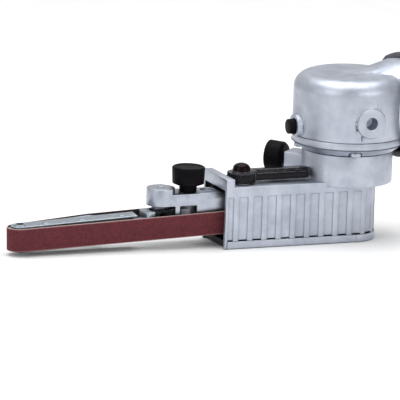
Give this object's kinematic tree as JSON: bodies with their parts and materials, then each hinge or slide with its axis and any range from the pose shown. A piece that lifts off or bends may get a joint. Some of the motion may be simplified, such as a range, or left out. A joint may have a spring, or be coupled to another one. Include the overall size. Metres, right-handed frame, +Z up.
{
  "type": "narrow belt sander head",
  "caption": "Narrow belt sanding head: ribbed cast housing, slim belt arm with idler, tracking knob and release lever, clamped by a collar on a right-angle gear head.",
  "frame": {"origin": "where the spindle axis meets the flat underside of the bottom cover", "axes": "+Z up along the spindle, -X along the belt arm to its tip, +X toward the motor"},
  "size_m": [0.2588, 0.0723, 0.1035],
  "materials": {
    "cast_silver": "cast, satin silver",
    "machined_alloy": "machined",
    "black_knob": "moulded, matt",
    "zinc_steel": "zinc plated",
    "black_steel": "black oxide",
    "dome_nut": "black nickel",
    "ground_steel": "ground",
    "bearing_steel": "polished",
    "gear_steel": "hardened, oiled",
    "spring_steel": "drawn wire",
    "bronze": "sintered",
    "tyre_rubber": "moulded",
    "seal_rubber": "moulded",
    "motor_plastic": "moulded",
    "abrasive": "resin bonded grit on cloth"
  },
  "bodies": {
    "housing": {"housing": "cast_silver", "base_cover": "cast_silver", "cover_screws": "black_steel", "guide_rails": "bronze", "rail_screws": "black_steel", "clamp_pad": "bronze", "lever_washer": "ground_steel", "tension_spring": "spring_steel", "sanding_belt": "abrasive"},
    "clamp_screw": {"clamp_knob": "black_knob", "clamp_stud": "ground_steel"},
    "lever": {"release_lever": "black_knob", "lever_pivot": "ground_steel", "lever_crank": "ground_steel", "lever_dome_nut": "dome_nut"},
    "slide": {"tension_slide": "machined_alloy", "slide_rod": "ground_steel", "rod_nut": "black_steel", "tracking_barrel": "black_steel", "tracking_spring": "spring_steel"},
    "tracker": {"tracking_knob": "black_knob", "tracking_stud": "ground_steel"},
    "arm": {"arm_bar": "black_steel", "arm_hinge_pin": "ground_steel", "arm_top_plate": "zinc_steel", "arm_bottom_plate": "black_steel", "arm_rivets": "zinc_steel", "platen": "zinc_steel", "idler_pin": "zinc_steel", "tracking_nut": "black_steel"},
    "idler": {"idler_wheel": "ground_steel", "idler_bushing": "bronze"},
    "gear_head": {"bearing_flange": "cast_silver", "flange_screws": "zinc_steel", "gear_case": "cast_silver", "lower_bearing": "bearing_steel", "bearing_circlip": "black_steel", "dust_seal": "seal_rubber", "upper_bearing": "bearing_steel", "pinion_bearing": "bearing_steel", "motor_ring": "motor_plastic", "lock_spring": "spring_steel"},
    "spindle": {"spindle": "ground_steel", "crown_gear": "gear_steel", "drive_wheel": "machined_alloy", "drive_tyre": "tyre_rubber"},
    "pinion": {"pinion": "gear_steel", "pinion_shaft": "ground_steel"},
    "lock_button": {"lock_button": "black_knob"}
  },
  "joints": [
    {"name": "head_swivel", "type": "hinge", "parent": "housing", "child": "gear_head", "pos_m": [0, 0, 0.044], "axis": [0, 0, 1], "range_deg": [-90, 60]},
    {"name": "spindle_spin", "type": "hinge", "parent": "gear_head", "child": "spindle", "pos_m": [0, 0, 0.045], "axis": [0, 0, 1], "continuous": true},
    {"name": "pinion_spin", "type": "hinge", "parent": "gear_head", "child": "pinion", "pos_m": [0.03, 0, 0.074], "axis": [1, 0, 0], "continuous": true},
    {"name": "lock_press", "type": "slide", "parent": "gear_head", "child": "lock_button", "axis": [1, 0, 0], "range_m": [0, 0.003], "stiffness_N_per_m": 300, "springref_m": -0.001, "deforming": ["lock_spring"]},
    {"name": "clamp_turn", "type": "hinge", "parent": "housing", "child": "clamp_screw", "pos_m": [-0.02121, 0.02121, 0.0412], "axis": [-0.7071, 0.7071, 0], "range_deg": [0, 360]},
    {"name": "lever_swing", "type": "hinge", "parent": "housing", "child": "lever", "pos_m": [-0.0667, -0.0055, 0.0352], "axis": [0, 0, 1], "range_deg": [-60, 0]},
    {"name": "slide_travel", "type": "slide", "parent": "housing", "child": "slide", "axis": [1, 0, 0], "range_m": [0, 0.006], "stiffness_N_per_m": 80, "springref_m": -0.004, "deforming": ["tension_spring"]},
    {"name": "tracking_turn", "type": "hinge", "parent": "slide", "child": "tracker", "pos_m": [-0.0965, 0, 0.0308], "axis": [0, 0, 1], "range_deg": [-180, 180], "deforming": ["tracking_spring"]},
    {"name": "arm_tilt", "type": "hinge", "parent": "slide", "child": "arm", "pos_m": [-0.11313, 0, 0.01846], "axis": [0, 1, 0], "range_deg": [-1.4, 1.4]},
    {"name": "idler_spin", "type": "hinge", "parent": "arm", "child": "idler", "pos_m": [-0.197, 0, 0.00949], "axis": [-0.0401, 0, 0.9992], "continuous": true}
  ],
  "couplings": [
    {"joint": "pinion_spin", "follows": "spindle_spin", "ratio": 3.1667},
    {"joint": "idler_spin", "follows": "spindle_spin", "ratio": 1.9048},
    {"joint": "lever_swing", "follows": "slide_travel", "rad_per_m": -174.53},
    {"joint": "arm_tilt", "follows": "tracking_turn", "ratio": 0.00767}
  ]
}
